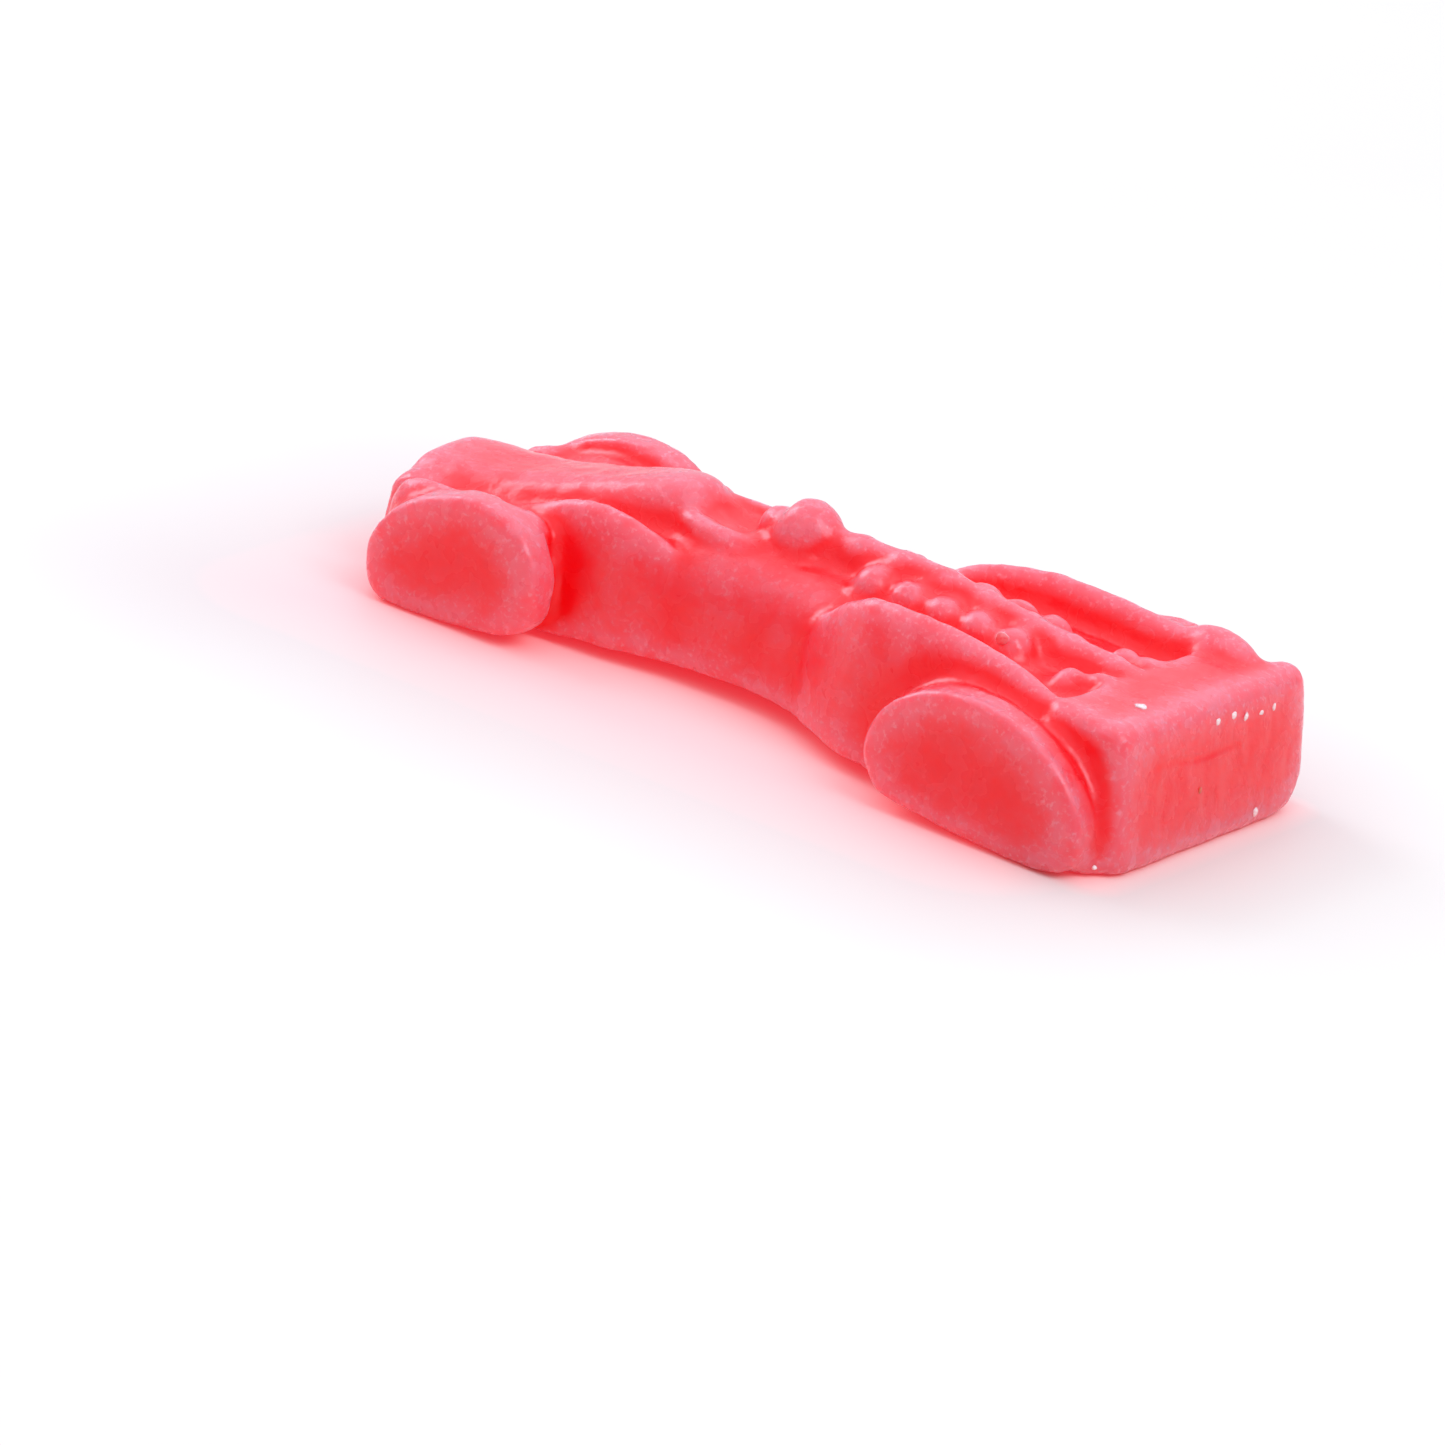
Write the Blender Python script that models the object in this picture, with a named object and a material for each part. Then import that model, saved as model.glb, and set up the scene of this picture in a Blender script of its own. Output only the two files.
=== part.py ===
"""A race-car gummy, moulded in one piece: nose, wheels, fenders, cockpit, engine spine and rear wing.

X runs from the nose to the tail, Z up from the flat back. Every solid overlaps its neighbours, and a
voxel remesh fuses them into one soft-edged body, which is then bowed along its length and thinned.
"""

import math

import bmesh
import bpy
import numpy as np
from mathutils import Vector

NODE = "gummy_car"
MM = 0.001
SIDES = (-1, 1)

# Driving dimensions, in millimetres
TAIL_X = 25.0  # flat rear face of the wing
NOSE_X = -25.0  # front of the front wheels
NOSE_BULGE = 1.7  # how far the middle of the nose stands ahead of the wheels
WING_HEIGHT = 8.4
WING_DEPTH = 4.9
WING_HALF = 8.7  # half width of the deep part of the wing
PLATE_HALF = 9.85  # and of the plate along its rear edge
PLATE_DEPTH = 1.7
PLATE_SHIFT = 1.05  # it sits this far to the right
WING_EDGE = 0.9
WING_FEET = {-1: 0.9, 1: 3.0}  # radii of its lower left and right corners
WING_FLARE = 0.5  # how far the foot of the rear face stands behind its top

# Wheels and their necks: middle, length and top in side view, and reach from the centre
REAR_WHEEL = {"x": 17.3, "length": 14.1, "top": 7.7, "hub": 2.2, "inner": 9.1, "outer": 11.5}
REAR_NECK = {"x": 17.0, "length": 11.9, "top": 6.6, "hub": 2.2, "inner": 7.5, "outer": 9.9}
FRONT_WHEEL = {"x": -18.6, "length": 11.7, "top": 7.6, "hub": 2.6, "inner": 7.5, "outer": 9.8}
FRONT_NECK = {"x": -18.6, "length": 9.8, "top": 6.6, "hub": 2.6, "inner": 5.5, "outer": 8.2}
WHEEL_EDGE = 1.0
HEEL = {"front": 21.5, "rear": 24.5, "inner": 7.5, "outer": 9.9, "top": 1.6, "edge": 0.8}  # left only
WHEEL_CORNER_POWER = 3.6  # squareness of a wheel's two lower corners

NOSE_HALF = 5.3
NOSE_TOP = 6.2
NOSE_DEPTH = 8.0
NOSE_EDGE = 1.2

CORNER_BLOCK = {"front": -24.9, "rear": -14.5, "inner": 5.8, "outer": 7.9, "edge": 1.4}
CORNER_BLOCK_TOPS = {-1: 6.9, 1: 6.0}  # left and right

# Lengthwise shapes: stations of (x, middle, inner reach, outer reach, top, squareness)
BODY = (
    (-23.0, 0, 5.2, 5.2, 4.8, 4.0),
    (-16.0, 0, 5.6, 5.6, 6.4, 3.4),
    (-9.0, 0, 5.5, 5.5, 6.8, 3.4),
    (-5.5, 0, 5.3, 5.3, 7.3, 3.6),
    (-1.0, 0, 5.2, 5.2, 7.3, 3.6),
    (3.0, 0, 6.0, 6.0, 7.1, 3.6),
    (5.5, 0, 7.1, 7.1, 6.9, 3.4),
    (9.0, 0, 8.0, 8.0, 6.9, 3.8),
    (12.0, 0, 8.2, 8.2, 6.9, 4.5),
    (20.0, 0, 8.2, 8.2, 7.3, 4.5),
    (23.0, 0, 8.2, 8.2, 7.5, 4.5),
)
HOOD = (
    (-26.3, 0, 4.3, 4.3, 6.8, 4.0),
    (-24.6, 0, 4.9, 4.9, 7.0, 4.0),
    (-20.0, 0, 4.8, 4.8, 7.3, 4.0),
    (-14.0, 0, 4.1, 4.1, 8.5, 3.8),
    (-11.0, 0, 3.6, 3.6, 9.3, 3.4),
    (-9.4, 0, 3.4, 3.4, 9.4, 3.0),
    (-7.6, 0, 3.3, 3.3, 8.0, 2.6),
    (-3.0, 0, 3.3, 3.3, 7.8, 2.6),
)
SPINE = (
    (-2.0, 0, 1.7, 1.7, 8.9, 2.4),
    (1.0, 0, 1.8, 1.8, 9.2, 2.4),
    (6.0, 0, 1.8, 1.8, 9.4, 2.4),
    (14.0, 0, 1.7, 1.7, 8.9, 2.4),
    (20.0, 0, 1.9, 1.9, 8.7, 2.4),
    (22.5, 0, 2.2, 2.2, 8.0, 2.4),
)
FRONT_FENDER = (
    (-18.0, 4.9, 1.6, 1.2, 6.4, 2.0),
    (-14.5, 4.9, 1.9, 1.4, 7.8, 2.0),
    (-12.5, 4.9, 2.0, 1.4, 8.0, 2.0),
    (-10.5, 4.8, 1.9, 1.4, 7.6, 2.0),
    (-8.5, 4.6, 1.6, 1.3, 6.8, 2.0),
    (-6.5, 4.4, 1.2, 1.0, 5.4, 2.0),
)
REAR_FENDER = (
    (1.6, 4.8, 0.8, 0.6, 4.4, 2.0),
    (3.0, 5.3, 1.2, 1.2, 6.3, 2.0),
    (4.8, 6.0, 1.5, 1.5, 7.7, 2.1),
    (7.0, 6.7, 1.7, 1.7, 8.6, 2.2),
    (10.0, 7.2, 1.8, 1.6, 8.9, 2.3),
    (14.5, 7.3, 1.8, 1.7, 9.0, 2.3),
    (17.5, 7.4, 1.8, 1.7, 9.0, 2.3),
    (19.8, 7.4, 1.8, 1.7, 8.75, 2.3),
    (22.5, 7.4, 1.8, 1.7, 8.1, 2.3),
)
# The left and right rear fenders are uneven: this is added to their tops, station by station
REAR_FENDER_RISE = {
    -1: (0, 0, 0.15, 0.35, 0.4, 0.35, 0.0, -0.5, -0.9),
    1: (0, 0, -0.15, -0.35, -0.05, 0.05, 0, 0, 0),
}
TAIL_LUMP = {"place": (20.7, 8.0, 7.1), "radii": (3.0, 2.0, 2.45)}  # on the right fender only

SPINE_RIBS = {"first": 1.6, "pitch": 2.85, "count": 7, "rise": 0.12, "radii": (1.15, 1.3, 1.4)}
CYLINDERS = {"first": 3.9, "pitch": 2.37, "count": 5, "side": 2.05, "radius": 1.2, "z": 7.4}
EXHAUSTS = ((17.7, 2.8, 7.3, 1.0), (19.5, 2.4, 7.6, 1.0))  # x, distance from the centre, z, radius

COCKPIT = {"x": -6.4, "length": 7.0, "half": 2.7, "rim": 0.75, "rim_z": 7.25, "slope": 0.12}
COCKPIT_HOLLOW = {"x": -5.5, "length": 5.8, "half": 2.4, "floor": 7.2, "z": 8.8}
HOOP = {"x": -2.1, "length": 4.8, "half": 2.3, "top": 10.2, "z": 7.2}
HEAD = {"x": -4.0, "z": 8.0, "radius": 1.25}
HOOP_POCKET = {"x": -4.9, "z": 8.3, "radius": 1.5}

GROOVE_HALF = 0.45  # half width of the slots beside the nose
NOSE_GROOVE = {"side": 5.65, "x": -25.4, "depth": 2.2}

DRAFT = 0.03  # how much wider and longer the flat back is than the top, as a share
BOW = 1.2  # rise of the middle of the bowed sweet above its two ends
BOW_REACH = 23.0
FRONT_SKEW = 0.055  # how far the right front corner leads the left one, as a share of the width
SKEW_SPAN = (-8.0, -20.0)  # the skew grows over this stretch of the length
PAD_SINK = 0.1  # how much of each end is pressed flat where the bowed sweet stands

VOXEL = 0.3
SMOOTH_STEPS = 5
TRIANGLES = 8600
FOOT = ((-26.2, -4.2), (24.9, -7.8), (24.9, 7.8), (-26.4, 4.2))  # corners of the flat it stands on
FOOT_RISE = 0.04  # points lower than this belong to the foot
RIM_LIFT = 0.05  # the foot's rim, outside those corners, is lifted this much

RED = (0.80, 0.045, 0.075, 1.0)
ROUGHNESS = 0.42


def remove_everything():
    for obj in list(bpy.data.objects):
        bpy.data.objects.remove(obj, do_unlink=True)


def link(name, mesh):
    obj = bpy.data.objects.new(name, mesh)
    bpy.context.scene.collection.objects.link(obj)
    return obj


def from_bmesh(name, bm):
    """An object in metres from a bmesh in millimetres, with its faces turned out."""
    bmesh.ops.recalc_face_normals(bm, faces=bm.faces)
    bmesh.ops.scale(bm, vec=(MM, MM, MM), verts=bm.verts)
    mesh = bpy.data.meshes.new(name)
    bm.to_mesh(mesh)
    bm.free()
    return link(name, mesh)


def box(name, low, high, edge=0.0):
    bm = bmesh.new()
    bmesh.ops.create_cube(bm, size=1.0)
    size = [b - a for a, b in zip(low, high)]
    middle = [(a + b) / 2 for a, b in zip(low, high)]
    bmesh.ops.scale(bm, vec=size, verts=bm.verts)
    bmesh.ops.translate(bm, vec=middle, verts=bm.verts)
    if edge:
        bmesh.ops.bevel(bm, geom=bm.edges[:], offset=edge, segments=3, profile=0.5, affect="EDGES")
    return from_bmesh(name, bm)


def ball(name, place, radii):
    bm = bmesh.new()
    bmesh.ops.create_uvsphere(bm, u_segments=24, v_segments=14, radius=1.0)
    bmesh.ops.scale(bm, vec=radii, verts=bm.verts)
    bmesh.ops.translate(bm, vec=place, verts=bm.verts)
    return from_bmesh(name, bm)


def signed_power(value, power):
    return math.copysign(abs(value) ** power, value)


def loft(name, stations, side=1, steps=18, spacing=0.5):
    """A ridge along X with a flat base: each section is half a superellipse, inner and outer halves apart."""
    columns = np.array(stations, float).T
    places = np.arange(columns[0][0], columns[0][-1] + spacing / 2, spacing)
    rows = zip(places, *(np.interp(places, columns[0], column) for column in columns[1:]))
    bm = bmesh.new()
    rings = []
    for x, middle, inner, outer, top, squareness in rows:
        ring = []
        for step in range(steps + 1):
            angle = math.pi * step / steps
            across = signed_power(math.cos(angle), 2 / squareness)
            y = middle + across * (outer if across > 0 else inner)
            ring.append(bm.verts.new((x, side * y, top * abs(math.sin(angle)) ** (2 / squareness))))
        rings.append(ring)
    for near, far in zip(rings, rings[1:]):
        for i in range(steps):
            bm.faces.new((near[i], near[i + 1], far[i + 1], far[i]))
        bm.faces.new((near[-1], near[0], far[0], far[-1]))
    bm.faces.new(rings[0])
    bm.faces.new(rings[-1])
    return from_bmesh(name, bm)


def wheel_outline(wheel, steps=48):
    """Side view of a wheel: half an ellipse above the hub, and square-cornered below it down to the base."""
    half = wheel["length"] / 2
    above = wheel["top"] - wheel["hub"]
    power = 2 / WHEEL_CORNER_POWER
    points = []
    for step in range(steps):
        angle = 2 * math.pi * step / steps
        across, up = math.cos(angle), math.sin(angle)
        if up >= 0:
            points.append((wheel["x"] + half * across, wheel["hub"] + above * up))
        else:
            x = wheel["x"] + half * signed_power(across, power)
            points.append((x, wheel["hub"] * (1 - abs(up) ** power)))
    return points


def wheel_disc(name, wheel, side, edge=0.0):
    """A wheel's outline pushed out sideways, with its outer rim rounded."""
    bm = bmesh.new()
    points = wheel_outline(wheel)
    rim = [bm.verts.new((x, side * wheel["outer"], z)) for x, z in points]
    back = [bm.verts.new((x, side * wheel["inner"], z)) for x, z in points]
    bm.faces.new(rim)
    bm.faces.new(back)
    for i in range(len(points)):
        j = (i + 1) % len(points)
        bm.faces.new((rim[i], rim[j], back[j], back[i]))
    if edge:
        rim_edges = [e for e in bm.edges if all(v in set(rim) for v in e.verts)]
        bmesh.ops.bevel(bm, geom=rim_edges, offset=edge, segments=4, profile=0.5, affect="EDGES")
    return from_bmesh(name, bm)


def wheels():
    """Each wheel is a thick disc that stands off the body on a smaller neck."""
    rows = (
        ("front_wheel", FRONT_WHEEL, WHEEL_EDGE),
        ("front_neck", FRONT_NECK, 0.0),
        ("rear_wheel", REAR_WHEEL, WHEEL_EDGE),
        ("rear_neck", REAR_NECK, 0.0),
    )
    return [wheel_disc(f"{name}_{side}", row, side, edge) for name, row, edge in rows for side in SIDES]


def heel():
    """A low web that closes the foot of the gap between the left rear wheel and the wing."""
    low, high = (HEEL["front"], -HEEL["outer"], 0), (HEEL["rear"], -HEEL["inner"], HEEL["top"])
    return box("heel", low, high, HEEL["edge"])


def corner_blocks():
    """The round-shouldered blocks between the nose and the front wheels."""
    block = CORNER_BLOCK
    made = []
    for side, top in CORNER_BLOCK_TOPS.items():
        reach = sorted((side * block["inner"], side * block["outer"]))
        low = (block["front"], reach[0], 0)
        high = (block["rear"], reach[1], top)
        made.append(box(f"corner_block_{side}", low, high, block["edge"]))
    return made


def nose(steps=16):
    """The slab between the front wheels: its front edge is bowed forward in plan."""
    back_x = NOSE_X + NOSE_DEPTH
    outline = [(back_x, -NOSE_HALF)]
    for step in range(steps + 1):
        y = NOSE_HALF * (2 * step / steps - 1)
        ahead = NOSE_BULGE * (1 - (y / FRONT_WHEEL["outer"]) ** 2)
        outline.append((NOSE_X - ahead, y))
    outline.append((back_x, NOSE_HALF))
    bm = bmesh.new()
    low = bm.faces.new([bm.verts.new((x, y, 0)) for x, y in outline])
    raised = bmesh.ops.extrude_face_region(bm, geom=[low])["geom"]
    top = [v for v in raised if isinstance(v, bmesh.types.BMVert)]
    bmesh.ops.translate(bm, vec=(0, 0, NOSE_TOP), verts=top)
    top_edges = [e for e in bm.edges if all(v in set(top) for v in e.verts)]
    bmesh.ops.bevel(bm, geom=top_edges, offset=NOSE_EDGE, segments=4, profile=0.5, affect="EDGES")
    return from_bmesh("nose", bm)


def arc(middle, radius, first, last, steps=6):
    """Points of a circle's arc, with its angles in degrees."""
    angles = [math.radians(first + (last - first) * i / steps) for i in range(steps + 1)]
    return [(middle[0] + radius * math.cos(a), middle[1] + radius * math.sin(a)) for a in angles]


def slab(name, front_x, half, shift=0.0):
    """A slab across the tail: round lower corners, and a rear face that leans out to its foot."""
    top = WING_HEIGHT - WING_EDGE
    side = half - WING_EDGE
    left, right = WING_FEET[-1], WING_FEET[1]
    outline = arc((half - right, right), right, -90, 0) + arc((side, top), WING_EDGE, 0, 90)
    outline += arc((-side, top), WING_EDGE, 90, 180) + arc((left - half, left), left, 180, 270)
    bm = bmesh.new()
    front = bm.faces.new([bm.verts.new((front_x, y + shift, z)) for y, z in outline])
    raised = bmesh.ops.extrude_face_region(bm, geom=[front])["geom"]
    rear = [v for v in raised if isinstance(v, bmesh.types.BMVert)]
    for vertex in rear:
        vertex.co.x = TAIL_X + WING_FLARE * (1 - vertex.co.z / WING_HEIGHT)
    rear_edges = [e for e in bm.edges if all(v in set(rear) for v in e.verts)]
    bmesh.ops.bevel(bm, geom=rear_edges, offset=WING_EDGE, segments=3, profile=0.5, affect="EDGES")
    return from_bmesh(name, bm)


def wing():
    """The deep wing and the wider plate along its rear edge, which stands free of the wheels."""
    return [
        slab("wing", TAIL_X - WING_DEPTH, WING_HALF),
        slab("wing_plate", TAIL_X - PLATE_DEPTH, PLATE_HALF, PLATE_SHIFT),
    ]


def fenders():
    made = [ball("tail_lump", TAIL_LUMP["place"], TAIL_LUMP["radii"])]
    for side in SIDES:
        rear = np.array(REAR_FENDER)
        rear[:, 4] += REAR_FENDER_RISE[side]
        made.append(loft(f"front_fender_{side}", FRONT_FENDER, side))
        made.append(loft(f"rear_fender_{side}", rear, side))
    return made


def cockpit_rim(steps=40, tube_steps=10):
    """A raised oval lip round the cockpit, lower towards the tail."""
    bm = bmesh.new()
    rings = []
    for step in range(steps):
        angle = 2 * math.pi * step / steps
        ring = []
        for turn in range(tube_steps):
            tube = 2 * math.pi * turn / tube_steps
            reach = COCKPIT["rim"] * math.cos(tube)
            x = COCKPIT["x"] + (COCKPIT["length"] / 2 + reach) * math.cos(angle)
            y = (COCKPIT["half"] + reach) * math.sin(angle)
            z = COCKPIT["rim_z"] - COCKPIT["slope"] * (x - COCKPIT["x"])
            ring.append(bm.verts.new((x, y, z + COCKPIT["rim"] * math.sin(tube))))
        rings.append(ring)
    for i, ring in enumerate(rings):
        following = rings[(i + 1) % steps]
        for j in range(tube_steps):
            k = (j + 1) % tube_steps
            bm.faces.new((ring[j], ring[k], following[k], following[j]))
    return from_bmesh("cockpit_rim", bm)


def engine():
    """Rounded ribs across the spine, a row of small domes on either side of it, and two larger ones behind."""
    made = []
    x, _, _, _, top, _ = np.array(SPINE).T
    for i in range(SPINE_RIBS["count"]):
        place = SPINE_RIBS["first"] + i * SPINE_RIBS["pitch"]
        height = float(np.interp(place, x, top))
        radii = SPINE_RIBS["radii"]
        made.append(ball(f"rib_{i}", (place, 0, height + SPINE_RIBS["rise"] - radii[2]), radii))
    for side in SIDES:
        for i in range(CYLINDERS["count"]):
            place = CYLINDERS["first"] + i * CYLINDERS["pitch"]
            radii = (CYLINDERS["radius"],) * 3
            made.append(ball(f"dome_{side}_{i}", (place, side * CYLINDERS["side"], CYLINDERS["z"]), radii))
        for i, (place, away, z, radius) in enumerate(EXHAUSTS):
            made.append(ball(f"exhaust_{side}_{i}", (place, side * away, z), (radius,) * 3))
    return made


def hoop():
    radii = (HOOP["length"] / 2, HOOP["half"], HOOP["top"] - HOOP["z"])
    return ball("hoop", (HOOP["x"], 0, HOOP["z"]), radii)


def head():
    return ball("head", (HEAD["x"], 0, HEAD["z"]), (HEAD["radius"],) * 3)


def solids():
    made = wing() + [nose(), loft("body", BODY), loft("hood", HOOD), loft("spine", SPINE)]
    made += fenders()
    made += corner_blocks()
    made += wheels()
    made += engine()
    made += [cockpit_rim(), hoop(), heel()]
    return made


def hollows():
    """What is pressed out of the fused body: the cockpit, the pocket in the hoop and two nose slots."""
    hollow = COCKPIT_HOLLOW
    made = [
        ball(
            "cockpit",
            (hollow["x"], 0, hollow["z"]),
            (hollow["length"] / 2, hollow["half"], hollow["z"] - hollow["floor"]),
        ),
        ball("hoop_pocket", (HOOP_POCKET["x"], 0, HOOP_POCKET["z"]), (HOOP_POCKET["radius"],) * 3),
    ]
    for side in SIDES:
        y = side * NOSE_GROOVE["side"]
        low = (NOSE_X - 3, y - GROOVE_HALF, -1)
        high = (NOSE_X + NOSE_GROOVE["depth"], y + GROOVE_HALF, 9)
        made.append(box(f"nose_slot_{side}", low, high))
    return made


def evaluated(obj):
    """The object's mesh with its modifiers applied."""
    graph = bpy.context.evaluated_depsgraph_get()
    return bpy.data.meshes.new_from_object(obj.evaluated_get(graph))


def joined(name, parts):
    bm = bmesh.new()
    for part in parts:
        bm.from_mesh(part.data)
        bpy.data.objects.remove(part, do_unlink=True)
    mesh = bpy.data.meshes.new(name)
    bm.to_mesh(mesh)
    bm.free()
    return link(name, mesh)


def add_remesh(obj):
    remesh = obj.modifiers.new("fuse", "REMESH")
    remesh.mode = "VOXEL"
    remesh.voxel_size = VOXEL * MM
    remesh.adaptivity = 0.0


def add_smooth(obj, steps):
    smooth = obj.modifiers.new("soften", "SMOOTH")
    smooth.factor = 0.5
    smooth.iterations = steps


def bowed(mesh):
    """Flares the sides to the mould's draft, skews the front, and lifts the middle in a shallow arch."""
    points = np.empty(len(mesh.vertices) * 3)
    mesh.vertices.foreach_get("co", points)
    points = points.reshape(-1, 3)
    points[:, :2] *= 1 + DRAFT * (1 - points[:, 2:] / (WING_HEIGHT * MM))
    start, end = SKEW_SPAN
    share = np.clip((points[:, 0] / MM - start) / (end - start), 0, 1)
    points[:, 0] -= FRONT_SKEW * share * (points[:, 1] + FRONT_WHEEL["outer"] * MM)
    along = np.clip(points[:, 0] / (BOW_REACH * MM), -1, 1)
    points[:, 2] += BOW * MM * (1 - along**2) ** 1.5 - points[:, 2].min() - PAD_SINK * MM
    points[:, 2] = np.maximum(points[:, 2], 0)
    mesh.vertices.foreach_set("co", points.reshape(-1))
    mesh.update()


def add_thinning(obj):
    count = sum(len(face.vertices) - 2 for face in obj.data.polygons)
    thin = obj.modifiers.new("thin", "DECIMATE")
    thin.ratio = TRIANGLES / count
    thin.use_collapse_triangulate = True


def press_flat(mesh):
    """Flattens the foot between its four corners, so that the sweet stands on them without rocking."""
    bm = bmesh.new()
    bm.from_mesh(mesh)
    corners = [Vector((x, y, 0)) * MM for x, y in FOOT]
    borders = []
    for start, end in zip(corners, corners[1:] + corners[:1]):
        outward = Vector((end.y - start.y, start.x - end.x, 0)).normalized()
        borders.append((start, outward))
        faces = [face for face in bm.faces if all(v.co.z < FOOT_RISE * MM for v in face.verts)]
        parts = {part for face in faces for part in (*face.edges, *face.verts)}
        bmesh.ops.bisect_plane(bm, geom=faces + list(parts), plane_co=start, plane_no=outward, dist=MM / 100)
    bmesh.ops.triangulate(bm, faces=[face for face in bm.faces if len(face.verts) > 3])
    for vertex in bm.verts:
        if vertex.co.z < FOOT_RISE * MM:
            outside = max((vertex.co - start).dot(outward) for start, outward in borders)
            vertex.co.z = RIM_LIFT * MM if outside > MM / 50 else 0
    bm.to_mesh(mesh)
    bm.free()


def centred(mesh):
    """Puts the origin at the middle of the sweet's base."""
    points = np.array([vertex.co[:] for vertex in mesh.vertices])
    middle = (points.min(axis=0) + points.max(axis=0)) / 2
    for vertex in mesh.vertices:
        vertex.co.x -= middle[0]
        vertex.co.y -= middle[1]


def gummy():
    material = bpy.data.materials.new("red_gummy")
    material.use_nodes = True
    shader = material.node_tree.nodes["Principled BSDF"]
    shader.inputs["Base Color"].default_value = RED
    shader.inputs["Roughness"].default_value = ROUGHNESS
    shader.inputs["Metallic"].default_value = 0.0
    return material


def main():
    remove_everything()
    sweet = joined(NODE, solids())
    add_remesh(sweet)

    cutter = joined("cutter", hollows())
    fuse_cutter = cutter.modifiers.new("fuse", "REMESH")
    fuse_cutter.mode = "VOXEL"
    fuse_cutter.voxel_size = VOXEL * MM / 2
    cut = sweet.modifiers.new("cut", "BOOLEAN")
    cut.operation = "DIFFERENCE"
    cut.solver = "MANIFOLD"  # the exact solver takes minutes on meshes this fine
    cut.object = cutter
    sweet.data = evaluated(sweet)
    sweet.modifiers.clear()
    bpy.data.objects.remove(cutter, do_unlink=True)

    sweet = joined(NODE, [sweet, head()])
    add_remesh(sweet)
    add_smooth(sweet, SMOOTH_STEPS)
    sweet.data = evaluated(sweet)
    sweet.modifiers.clear()

    bowed(sweet.data)
    add_thinning(sweet)
    sweet.data = evaluated(sweet)
    sweet.modifiers.clear()
    press_flat(sweet.data)
    centred(sweet.data)
    sweet.data.materials.append(gummy())
    sweet.data.shade_smooth()
    sweet.name = NODE


main()
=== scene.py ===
"""Red race-car gummy on a white table: detailed skin, translucent material, soft light and camera."""

import bmesh
import bpy
import numpy as np
from mathutils import Euler, Matrix, Vector, noise


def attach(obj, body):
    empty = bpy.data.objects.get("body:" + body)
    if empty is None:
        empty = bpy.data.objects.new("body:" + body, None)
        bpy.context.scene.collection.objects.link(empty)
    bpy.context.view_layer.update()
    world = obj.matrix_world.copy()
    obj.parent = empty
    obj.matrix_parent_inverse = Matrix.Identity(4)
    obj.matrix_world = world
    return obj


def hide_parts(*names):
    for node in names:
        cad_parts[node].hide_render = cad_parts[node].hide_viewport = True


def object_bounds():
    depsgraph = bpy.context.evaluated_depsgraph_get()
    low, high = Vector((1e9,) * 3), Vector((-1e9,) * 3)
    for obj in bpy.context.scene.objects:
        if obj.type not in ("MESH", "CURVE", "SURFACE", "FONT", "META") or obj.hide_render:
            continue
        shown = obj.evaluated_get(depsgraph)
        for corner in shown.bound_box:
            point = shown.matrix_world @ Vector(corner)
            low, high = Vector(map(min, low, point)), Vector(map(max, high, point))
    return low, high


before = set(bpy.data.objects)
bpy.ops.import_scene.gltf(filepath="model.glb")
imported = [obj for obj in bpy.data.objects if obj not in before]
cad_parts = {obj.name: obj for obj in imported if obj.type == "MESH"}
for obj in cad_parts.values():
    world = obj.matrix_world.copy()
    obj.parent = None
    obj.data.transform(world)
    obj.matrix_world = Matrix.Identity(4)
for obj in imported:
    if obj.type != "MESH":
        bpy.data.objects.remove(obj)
CAD_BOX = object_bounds()

NODE = "gummy_car"
MM = 0.001

# Mesh of the skin
VOXEL = 0.20 * MM
SMOOTH_STEPS = 6

# Relief of the skin, in millimetres: (height, width of its largest bumps, seed)
LUMPS = (0.055, 3.0, 1)
DIMPLES = (0.030, 1.2, 2)
GRAIN = (0.012, 0.5, 3)
END_FACE_X = 25.8  # everything behind this belongs to the flat end face
STREAKS = {"height": 0.018, "pitch": (2.0, 0.6, 3.0), "seed": 4}
STREAKS_TURN = (0.6, 0.9)  # they grow as the surface turns to face the tail
WRINKLE = {"from": (-5.5, 5.65), "to": (3.6, 5.2), "depth": 0.10, "width": 0.14, "sag": 0.12, "bend": 9}
CREASE_SHADE = 6.0  # painted shade: how far a millimetre of crease lowers swell, so that the material paints it deeper red
TYRES = {"x": 18.2, "z": 2.2, "half": 7.1, "above": 5.7}  # oval outline of a rear wheel above its hub
TYRE_RIMS = {"away": (11.2, 9.9), "height": 0.13, "width": 0.30, "spread": 0.12}
SWELL_STEPS = 110
SWELL_FULL = 0.40  # a bulge this high above the smoothed surface counts as a full edge

# Small things on the skin: rows of place and radii in millimetres and, for the nib, turn in radians
BEADS = (
    ((26.09, 0.99, 7.00), (0.10, 0.22, 0.22)),
    ((26.07, 2.71, 6.99), (0.10, 0.26, 0.24)),
    ((26.15, 3.96, 6.69), (0.08, 0.20, 0.24)),
    ((26.15, 5.60, 6.58), (0.08, 0.24, 0.16)),
    ((26.14, 6.98, 6.64), (0.08, 0.15, 0.22)),
    ((24.07, -4.24, 8.31), (0.36, 0.28, 0.14)),
    ((27.00, 5.50, 0.98), (0.12, 0.24, 0.26)),
    ((25.97, -9.53, 0.66), (0.14, 0.16, 0.14)),
)
SPECK = ((26.65, -0.58, 3.49), (0.05, 0.17, 0.20))
NIB = ((14.15, -3.25, 8.75), (0.38, 0.11, 0.55), (0.5, -0.35, 0.6))
UNEVEN = 0.25  # how far their surfaces wander, as a share of the radii
UNEVEN_PITCH = 0.2

# The two colours that each of them wanders between
CLEAR_SUGAR = ((0.95, 0.42, 0.42, 1), (1.0, 0.80, 0.72, 1))
BURNT_SUGAR = ((0.60, 0.07, 0.03, 1), (0.85, 0.12, 0.05, 1))
# pale pink of the nib: a painted highlight on the same red gelatine
PALE_GUMMY_PAINTED_HIGHLIGHT = ((1.0, 0.26, 0.27, 1), (1.0, 0.50, 0.48, 1))

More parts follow.
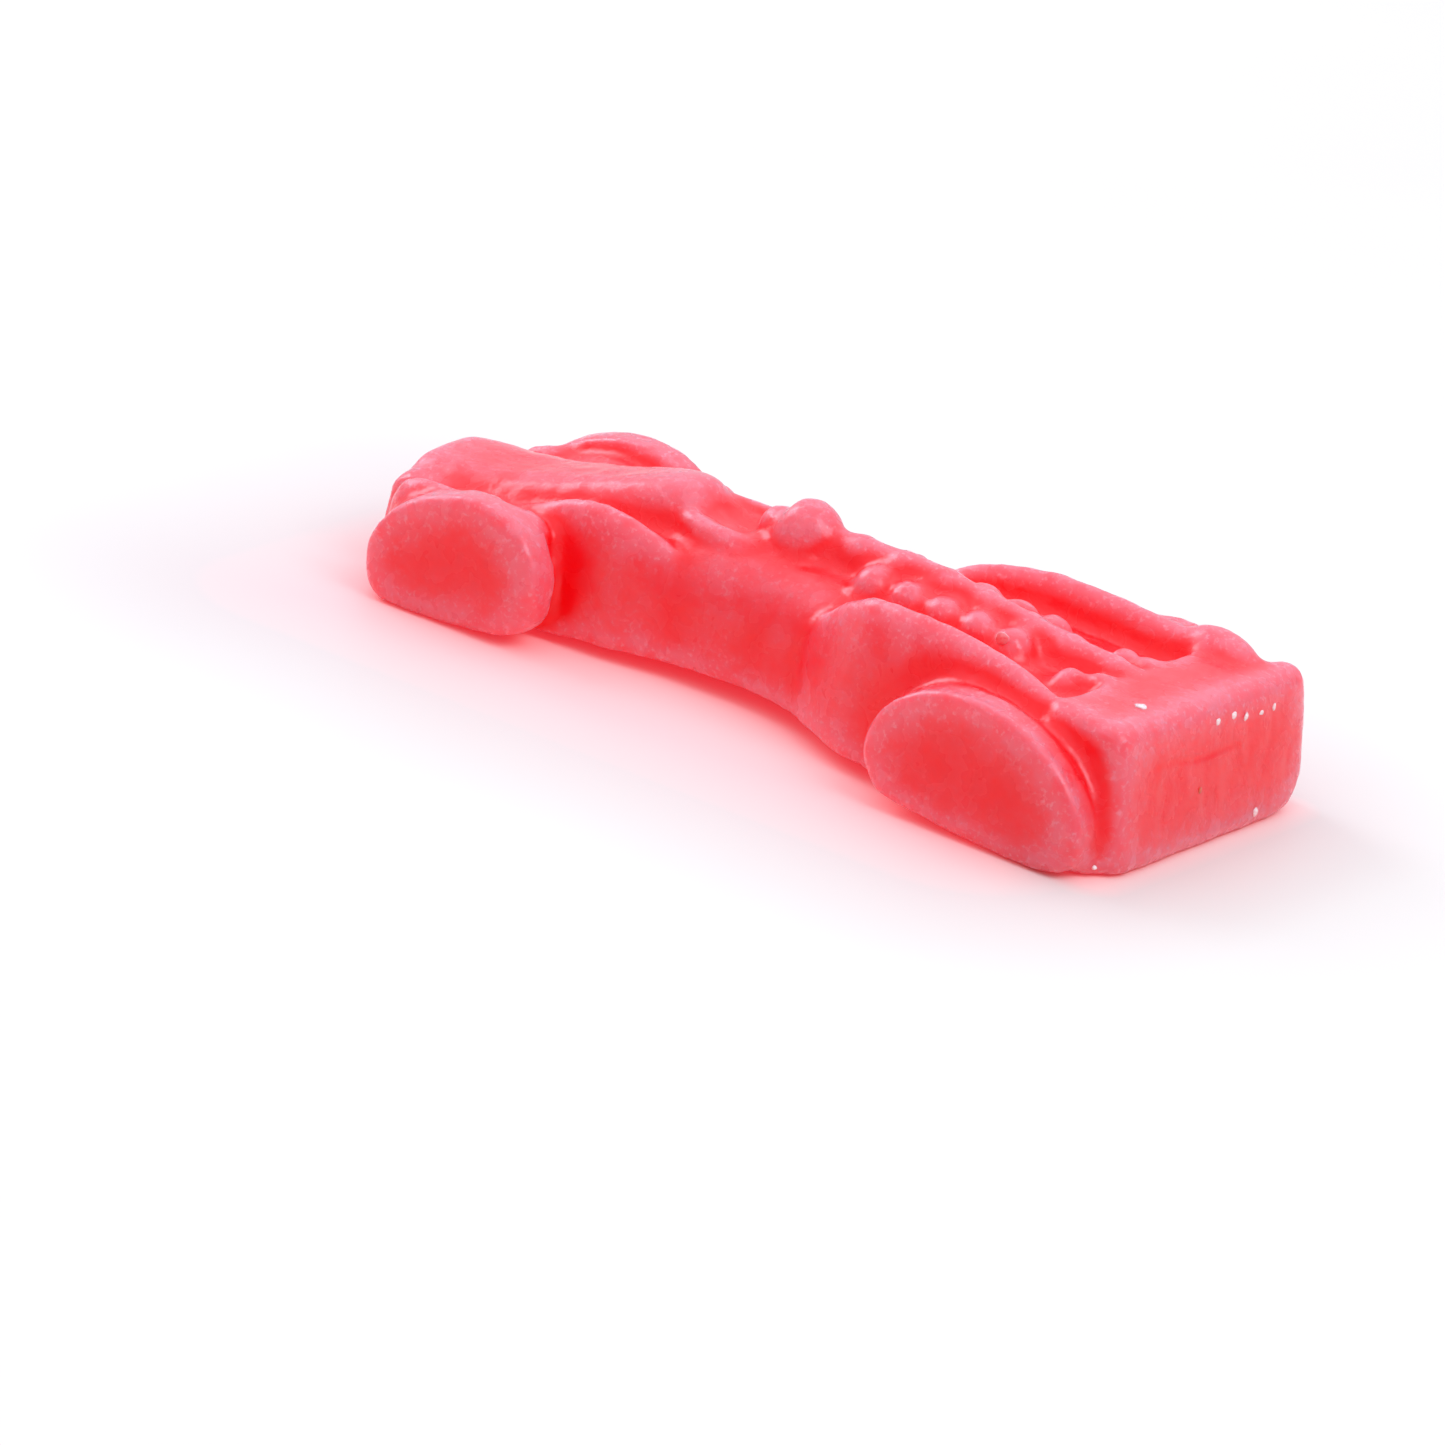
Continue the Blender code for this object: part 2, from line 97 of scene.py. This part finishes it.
# Camera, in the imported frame
TAIL_MARK = 26.265 * MM  # place of the tail in the frame the camera was fitted in
CAMERA_PLACE = (0.2855, -0.4801, 0.1985)
CAMERA_RIGHT = (0.8128, 0.5600, 0.1604)
CAMERA_DOWN = (0.3186, -0.1968, -0.9272)
CAMERA_VIEW = (-0.4877, 0.8048, -0.3384)
SENSOR = 36.0
FOCAL = 262.85

# Light and table
SKY_TINT = (0.62, 0.80, 0.95)
BEHIND = (-0.518, 0.855, 0.0)
LIGHTS = {  # place in metres, size and power of three soft lights
    "overhead": ((-0.05, 0.20, 0.62), 0.50, 0.4),
    "left_box": ((-0.504, 0.06, 0.318), 0.34, 1.5),
    "right_box": ((0.36, -0.06, 0.468), 0.34, 1.5),
}
ROOM_WALLS = (0.52, 0.90)  # strength on the camera's side and behind the sweet
ROOM_TOP = (0.0, 0.95)  # added from the horizon up to overhead
PAINTED_GLOW = {"half": (22, 10), "shift": (-3, -2.5), "reach": 7, "strength": 0.36}  # painted glow: the table itself glows red here, standing in for red light through the sweet
PAINTED_CONTACT_GLOW = {"half": (26, 10), "shift": (0, 0), "reach": 2.5, "strength": 0.30}  # painted glow: a thin red glowing line on the table at the foot, standing in for red light in the contact shadow
PAINTED_SHADE_REACH = 18  # how far pink painted shade reaches into the table's colour around the sweet
# colour of the painted red glow on the table
PAINTED_GLOW_COLOUR = (1.0, 0.05, 0.08, 1)
# pink painted shade in the table's colour near the sweet, standing in for red light through it
PAINTED_SHADE_TINT = (0.76, 0.50, 0.45, 1)
WHITES = ((0.84, 0.63, 0.54, 1), (0.86, 0.65, 0.56, 1))


def link(obj):
    bpy.context.scene.collection.objects.link(obj)
    return obj


def mesh_points(mesh):
    points = np.empty(len(mesh.vertices) * 3)
    mesh.vertices.foreach_get("co", points)
    return points.reshape(-1, 3)


def mesh_normals(mesh):
    normals = np.empty(len(mesh.vertices) * 3)
    mesh.vertices.foreach_get("normal", normals)
    return normals.reshape(-1, 3)


def bake(obj):
    """Bakes the object's modifiers into its mesh."""
    graph = bpy.context.evaluated_depsgraph_get()
    mesh = bpy.data.meshes.new_from_object(obj.evaluated_get(graph))
    obj.modifiers.clear()
    obj.data = mesh


def fine_skin(node):
    """A close copy of the CAD solid's surface, with even small faces."""
    skin = link(bpy.data.objects.new("gummy_skin", node.data.copy()))
    skin.data.materials.clear()
    remesh = skin.modifiers.new("even", "REMESH")
    remesh.mode = "VOXEL"
    remesh.voxel_size = VOXEL
    remesh.adaptivity = 0.0
    smooth = skin.modifiers.new("soften", "SMOOTH")
    smooth.factor = 0.5
    smooth.iterations = SMOOTH_STEPS
    bake(skin)
    return skin


def layered_noise(points, size, seed, octaves=3):
    """Signed noise of about -1 to 1 at each point; size is the width of its largest bumps."""
    shift = Vector((seed * 7.31, seed * 3.17, seed * 5.93))
    values = [noise.fractal(Vector(p) / size + shift, 1.0, 2.0, octaves) for p in points]
    return np.array(values)


def swell(mesh, points, normals):
    """How far each point stands out from the much smoothed surface: 1 on an edge, -1 in a groove."""
    edges = np.empty(len(mesh.edges) * 2, dtype=np.int32)
    mesh.edges.foreach_get("vertices", edges)
    first, second = edges.reshape(-1, 2).T
    count = np.bincount(edges, minlength=len(points))[:, None]
    smooth = points.copy()
    for _ in range(SWELL_STEPS):
        total = np.zeros_like(smooth)
        for axis in range(3):
            total[:, axis] = np.bincount(first, smooth[second, axis], len(points))
            total[:, axis] += np.bincount(second, smooth[first, axis], len(points))
        smooth = total / count
    rise = ((points - smooth) * normals).sum(axis=1)
    return np.clip(rise / SWELL_FULL, -1, 1)


def bell(distance, width):
    return np.exp(-((distance / width) ** 2))


def wrinkle(points):
    """A shallow crease across the end face."""
    y, z = points[:, 1], points[:, 2]
    (y0, z0), (y1, z1) = WRINKLE["from"], WRINKLE["to"]
    share = np.clip((y - y0) / (y1 - y0), 0, 1)
    line = z0 + (z1 - z0) * share + WRINKLE["sag"] * np.sin(WRINKLE["bend"] * share)
    inside = np.sin(np.pi * share) ** 0.5
    return -WRINKLE["depth"] * bell(z - line, WRINKLE["width"]) * inside * (points[:, 0] > END_FACE_X)


def streaks(points, normals):
    """Fine upright ridges on the end face."""
    stretched = points / np.array(STREAKS["pitch"])
    start, full = STREAKS_TURN
    share = np.clip((normals[:, 0] - start) / (full - start), 0, 1) * (points[:, 0] > END_FACE_X - 1)
    return STREAKS["height"] * layered_noise(stretched, 1.0, STREAKS["seed"]) * share


def tyre_rims(points):
    """A raised lip round the outer face of each rear wheel, and a second one inside it."""
    x = (points[:, 0] - TYRES["x"]) / TYRES["half"]
    z = (points[:, 2] - TYRES["z"]) / TYRES["above"]
    near_rim = bell(np.hypot(x, z) - 1, TYRE_RIMS["spread"]) * (points[:, 2] > TYRES["z"])
    height = np.zeros(len(points))
    for away in TYRE_RIMS["away"]:
        height += TYRE_RIMS["height"] * bell(np.abs(points[:, 1]) - away, TYRE_RIMS["width"])
    return height * near_rim


def roughen(skin):
    """Soft lumps, dimples, a crease and grain, as on a starch-moulded sweet, and the swell attribute, which
    also carries the crease's painted shade.
    """
    mesh = skin.data
    points = mesh_points(mesh) / MM
    normals = mesh_normals(mesh)
    edge = swell(mesh, points, normals)
    crease = wrinkle(points)
    # painted shade: the crease lowers swell, so the material paints it deeper red
    edge += CREASE_SHADE * crease
    height = crease + streaks(points, normals) + tyre_rims(points)
    for size, width, seed in (LUMPS, DIMPLES, GRAIN):
        height += size * layered_noise(points, width, seed)
    raised = points + normals * height[:, None]
    raised[:, 2] = np.maximum(raised[:, 2], 0)
    mesh.vertices.foreach_set("co", (raised * MM).reshape(-1))
    mesh.update()
    # swell carries edges, grooves and the crease to the material, which paints highlights on edges and
    # shade in grooves from it
    mesh.attributes.new("swell", "FLOAT", "POINT").data.foreach_set("value", edge)


def ellipsoids(name, rows, subdivisions=3):
    """Small lumps in one mesh: rows of place, radii and, where given, turn."""
    bm = bmesh.new()
    for place, radii, *turn in rows:
        matrix = Matrix.LocRotScale(Vector(place), Euler(turn[0] if turn else (0, 0, 0)), Vector(radii))
        made = bmesh.ops.create_icosphere(bm, subdivisions=subdivisions, radius=1.0, matrix=matrix)
        for vertex in made["verts"]:
            vertex.co += (vertex.co - Vector(place)) * UNEVEN * noise.noise(vertex.co / UNEVEN_PITCH)
    bmesh.ops.scale(bm, vec=(MM, MM, MM), verts=bm.verts)
    mesh = bpy.data.meshes.new(name)
    bm.to_mesh(mesh)
    bm.free()
    mesh.shade_smooth()
    return link(bpy.data.objects.new(name, mesh))


class Nodes:
    """Short names for building a node tree."""

    def __init__(self, owner):
        owner.use_nodes = True
        self.tree = owner.node_tree
        self.shader = self.tree.nodes.get("Principled BSDF")

    def add(self, kind, inputs=None, **settings):
        node = self.tree.nodes.new(kind)
        for name, value in settings.items():
            setattr(node, name, value)
        for key, value in (inputs or {}).items():
            self.put(value, node.inputs[key])
        return node

    def put(self, value, socket):
        if isinstance(value, bpy.types.NodeSocket):
            self.tree.links.new(value, socket)
        else:
            socket.default_value = value

    def noise(self, place, size, detail=3.0):
        """Noise of 0 to 1; size is the width of its largest spots in millimetres."""
        inputs = {"Vector": place, "Scale": 1 / (size * MM), "Detail": detail, "Roughness": 0.55}
        return self.add("ShaderNodeTexNoise", inputs).outputs["Fac"]

    def ramp(self, value, low, high, to_low=0.0, to_high=1.0):
        """The value's range low to high moved onto to_low to to_high, and held beyond its ends."""
        inputs = {0: value, 1: low, 2: high, 3: to_low, 4: to_high}
        return self.add("ShaderNodeMapRange", inputs, clamp=True).outputs[0]

    def maths(self, operation, a, b=0.0):
        return self.add("ShaderNodeMath", {0: a, 1: b}, operation=operation).outputs[0]

    def mix(self, share, a, b):
        return self.add("ShaderNodeMix", {0: share, 6: a, 7: b}, data_type="RGBA").outputs[2]


def gummy():
    """Cloudy red gelatine, with painted shade in its grooves and crease, and a painted highlight with
    finely speckled painted glints along its edges.
    """
    material = bpy.data.materials.new("red_gummy")
    n = Nodes(material)
    place = n.add("ShaderNodeTexCoord").outputs["Object"]
    edge = n.add("ShaderNodeAttribute", attribute_name="swell").outputs["Fac"]

    cloud = n.noise(place, 4.0, detail=4.0)
    mottle = n.noise(place, 1.5, detail=2.0)
    speckle = n.noise(place, 0.28, detail=2.0)
    grain = n.noise(place, 0.16, detail=1.0)

    deep = (0.90, 0.001, 0.004, 1)
    base = (0.91, 0.006, 0.012, 1)
    # pale: the gelatine's paler random mottle, and a painted highlight on edges
    pale = (0.82, 0.125, 0.155, 1)
    # painted glint: speckled painted highlights along edges
    painted_glint = (0.86, 0.300, 0.340, 1)
    # painted highlight on edges and painted shade in grooves, both from swell, over a real pale mottle
    painted_edge_highlight = n.maths("MULTIPLY", n.ramp(edge, 0.0, 0.80, 0.0, 0.85), n.ramp(mottle, 0.3, 0.7, 0.7, 1.3))
    mottle_and_painted_groove_shade = n.maths("ADD", n.ramp(mottle, 0.3, 0.7, 0.0, 0.13), n.ramp(edge, -0.5, 0.0, -0.25, 0.0))
    pale_share_with_painted_light = n.maths("ADD", painted_edge_highlight, mottle_and_painted_groove_shade)
    colour = n.mix(n.ramp(cloud, 0.35, 0.65), deep, base)
    colour = n.mix(n.ramp(pale_share_with_painted_light, 0.0, 1.0), colour, pale)
    painted_sparkle = n.maths("MULTIPLY", n.ramp(speckle, 0.55, 0.72), n.ramp(pale_share_with_painted_light, 0.15, 0.7))
    colour = n.mix(n.maths("MULTIPLY", painted_sparkle, 0.5), colour, painted_glint)
    n.put(colour, n.shader.inputs["Base Color"])
    n.put(n.ramp(mottle, 0.3, 0.7, 0.18, 0.34), n.shader.inputs["Roughness"])

    relief = n.add("ShaderNodeBump", {"Height": speckle, "Strength": 0.7, "Distance": 0.03 * MM})
    fine = n.add(
        "ShaderNodeBump",
        {"Height": grain, "Strength": 0.6, "Distance": 0.012 * MM, "Normal": relief.outputs[0]},
    )
    n.put(fine.outputs[0], n.shader.inputs["Normal"])

    sockets = n.shader.inputs
    sockets["Subsurface Weight"].default_value = 1.0
    sockets["Subsurface Radius"].default_value = (1.0, 0.10, 0.08)
    sockets["Subsurface Scale"].default_value = 5.0 * MM
    sockets["IOR"].default_value = 1.45
    sockets["Specular IOR Level"].default_value = 0.5
    sockets["Sheen Weight"].default_value = 0.15
    sockets["Sheen Roughness"].default_value = 0.35
    sockets["Sheen Tint"].default_value = (1.0, 0.72, 0.86, 1)
    return material


def spotted(name, low, high, size, roughness):
    """A material whose colour wanders between two values."""
    material = bpy.data.materials.new(name)
    n = Nodes(material)
    place = n.add("ShaderNodeTexCoord").outputs["Object"]
    spots = n.noise(place, size)
    n.put(n.mix(n.ramp(spots, 0.35, 0.65), low, high), n.shader.inputs["Base Color"])
    n.put(n.ramp(spots, 0.3, 0.7, roughness, roughness + 0.1), n.shader.inputs["Roughness"])
    return material


def from_patch(n, place, patch):
    """Distance from a patch of the table where a painted red glow stands in for red light through the
    sweet.
    """
    parts = n.add("ShaderNodeSeparateXYZ", {0: place})
    gaps = []
    for axis, half, shift in zip("XY", patch["half"], patch["shift"]):
        away = n.maths("ABSOLUTE", n.maths("SUBTRACT", parts.outputs[axis], shift * MM))
        gap = n.maths("MAXIMUM", n.maths("SUBTRACT", away, half * MM))
        gaps.append(n.maths("MULTIPLY", gap, gap))
    return n.maths("SQRT", n.maths("ADD", *gaps))


def table():
    bm = bmesh.new()
    bmesh.ops.create_grid(bm, x_segments=1, y_segments=1, size=4.0)
    mesh = bpy.data.meshes.new("table")
    bm.to_mesh(mesh)
    bm.free()
    obj = link(bpy.data.objects.new("table", mesh))
    material = bpy.data.materials.new("white_table")
    n = Nodes(material)
    place = n.add("ShaderNodeTexCoord").outputs["Object"]
    cloud = n.noise(place, 60.0, detail=2.0)
    white = n.mix(n.ramp(cloud, 0.3, 0.7), *WHITES)
    away = from_patch(n, place, PAINTED_GLOW)
    # painted shade: the table's colour turns pink near the sweet
    painted_shade_share = n.ramp(away, 0.0, PAINTED_SHADE_REACH * MM, 1.0, 0.0)
    n.put(n.mix(painted_shade_share, white, PAINTED_SHADE_TINT), n.shader.inputs["Base Color"])
    # painted glow: the table glows red near the sweet
    painted_glow = n.ramp(away, 0.0, PAINTED_GLOW["reach"] * MM, PAINTED_GLOW["strength"], 0.0)
    # painted glow: a thin red line along the foot, inside the contact shadow
    line = n.ramp(from_patch(n, place, PAINTED_CONTACT_GLOW), 0.0, PAINTED_CONTACT_GLOW["reach"] * MM, PAINTED_CONTACT_GLOW["strength"], 0.0)
    n.put(n.maths("MAXIMUM", painted_glow, line), n.shader.inputs["Emission Strength"])
    n.shader.inputs["Emission Color"].default_value = PAINTED_GLOW_COLOUR
    n.shader.inputs["Roughness"].default_value = 0.6
    mesh.materials.append(material)


def area_light(name, place, size, power):
    """A round soft light that faces the sweet."""
    data = bpy.data.lights.new(name, "AREA")
    data.shape = "DISK"
    data.size = size
    data.energy = power
    data.color = SKY_TINT
    light = link(bpy.data.objects.new(name, data))
    light.location = place
    light.rotation_euler = (-Vector(place)).to_track_quat("-Z", "Y").to_euler()


def studio():
    """A pale room, brighter overhead and behind the sweet than on the camera's side."""
    for name, (place, size, power) in LIGHTS.items():
        area_light(name, place, size, power)
    world = bpy.data.worlds.new("room")
    n = Nodes(world)
    direction = n.add("ShaderNodeTexCoord").outputs["Generated"]
    height = n.add("ShaderNodeSeparateXYZ", {0: direction}).outputs["Z"]
    facing = n.add("ShaderNodeVectorMath", {0: direction, 1: BEHIND}, operation="DOT_PRODUCT")
    behind = facing.outputs["Value"]
    strength = n.maths("ADD", n.ramp(behind, -0.4, 0.9, *ROOM_WALLS), n.ramp(height, 0.2, 0.75, *ROOM_TOP))
    background = n.tree.nodes["Background"]
    n.put(SKY_TINT + (1,), background.inputs["Color"])
    n.put(strength, background.inputs["Strength"])
    bpy.context.scene.world = world
    bpy.context.scene.view_settings.view_transform = "Standard"


def camera():
    data = bpy.data.cameras.new("camera")
    data.sensor_width = SENSOR
    data.lens = FOCAL
    data.clip_start = 0.01
    data.clip_end = 10
    obj = link(bpy.data.objects.new("camera", data))
    right, down, view = Vector(CAMERA_RIGHT), Vector(CAMERA_DOWN), Vector(CAMERA_VIEW)
    matrix = Matrix((right, -down, -view)).transposed().to_4x4()
    moved = CAD_BOX[1][0] - TAIL_MARK
    matrix.translation = Vector(CAMERA_PLACE) + Vector((moved, 0, 0))
    obj.matrix_world = matrix
    bpy.context.scene.camera = obj


camera()
studio()
table()

skin = fine_skin(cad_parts[NODE])
roughen(skin)
skin.data.materials.append(gummy())
skin.data.shade_smooth()
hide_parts(NODE)

beads = ellipsoids("sugar_beads", BEADS)
beads.data.materials.append(spotted("clear_sugar", *CLEAR_SUGAR, 0.12, 0.06))
speck = ellipsoids("brown_speck", [SPECK])
speck.data.materials.append(spotted("burnt_sugar", *BURNT_SUGAR, 0.10, 0.30))
nib = ellipsoids("mould_nib", [NIB])
nib.data.materials.append(spotted("gummy_painted_highlight", *PALE_GUMMY_PAINTED_HIGHLIGHT, 0.30, 0.25))

for piece in (skin, beads, speck, nib):
    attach(piece, "root")
